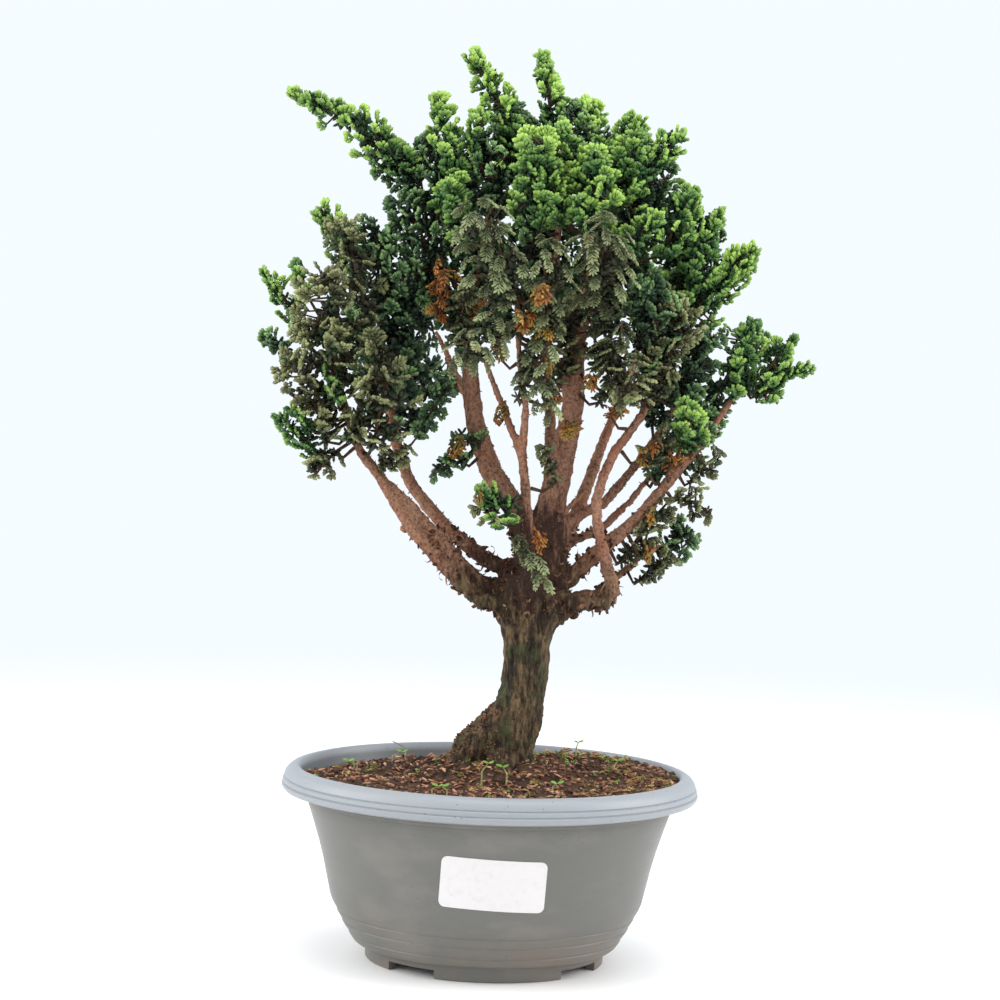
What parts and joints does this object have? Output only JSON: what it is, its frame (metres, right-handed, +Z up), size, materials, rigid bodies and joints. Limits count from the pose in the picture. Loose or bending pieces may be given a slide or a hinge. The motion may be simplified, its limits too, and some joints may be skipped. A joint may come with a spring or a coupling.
{
  "type": "hinoki cypress bonsai",
  "caption": "Hinoki cypress bonsai in a round grey plastic training pot, with a short bent trunk, long rising branches and dense fan-shaped sprays of foliage.",
  "frame": {"origin": "middle of the whole object's bounding box, on the surface that the pot stands on", "axes": "+Z up, +X to the right and -Y towards the viewer who faces the pot's label"},
  "size_m": [0.295, 0.2066, 0.4592],
  "materials": {
    "pot_plastic": "satin",
    "label_paper": "matte",
    "soil": "matte",
    "bark": "matte",
    "foliage_fresh": "matte",
    "foliage_dark": "matte",
    "foliage_old": "matte",
    "foliage_dried": "matte"
  },
  "bodies": {
    "root": {"pot": "pot_plastic", "pot_label": "label_paper", "soil": "soil", "trunk_and_branches": "bark", "dark_spray_01": "foliage_dark", "dark_spray_02": "foliage_dark", "dark_spray_03": "foliage_dark", "dark_spray_04": "foliage_dark", "dark_spray_05": "foliage_dark", "dark_spray_06": "foliage_dark", "dark_spray_07": "foliage_dark", "dark_spray_08": "foliage_dark", "dark_spray_09": "foliage_dark", "dark_spray_10": "foliage_dark", "dark_spray_11": "foliage_dark", "dark_spray_12": "foliage_dark", "dark_spray_13": "foliage_dark", "dark_spray_14": "foliage_dark", "dark_spray_15": "foliage_dark", "dark_spray_16": "foliage_dark", "dark_spray_17": "foliage_dark", "dark_spray_18": "foliage_dark", "dark_spray_19": "foliage_dark", "dark_spray_20": "foliage_dark", "dark_spray_21": "foliage_dark", "dark_spray_22": "foliage_dark", "dried_spray_01": "foliage_dried", "fresh_spray_01": "foliage_fresh", "fresh_spray_02": "foliage_fresh", "fresh_spray_03": "foliage_fresh", "fresh_spray_04": "foliage_fresh", "fresh_spray_05": "foliage_fresh", "fresh_spray_06": "foliage_fresh", "fresh_spray_07": "foliage_fresh", "fresh_spray_08": "foliage_fresh", "fresh_spray_09": "foliage_fresh", "fresh_spray_10": "foliage_fresh", "fresh_spray_11": "foliage_fresh", "fresh_spray_12": "foliage_fresh", "fresh_spray_13": "foliage_fresh", "fresh_spray_14": "foliage_fresh", "fresh_spray_15": "foliage_fresh", "fresh_spray_16": "foliage_fresh", "fresh_spray_17": "foliage_fresh", "fresh_spray_18": "foliage_fresh", "fresh_spray_19": "foliage_fresh", "fresh_spray_20": "foliage_fresh", "old_spray_01": "foliage_old", "old_spray_02": "foliage_old", "old_spray_03": "foliage_old", "old_spray_04": "foliage_old", "old_spray_05": "foliage_old", "old_spray_06": "foliage_old", "old_spray_07": "foliage_old", "old_spray_08": "foliage_old", "old_spray_09": "foliage_old", "old_spray_10": "foliage_old", "old_spray_11": "foliage_old", "old_spray_12": "foliage_old", "old_spray_13": "foliage_old"}
  },
  "joints": []
}
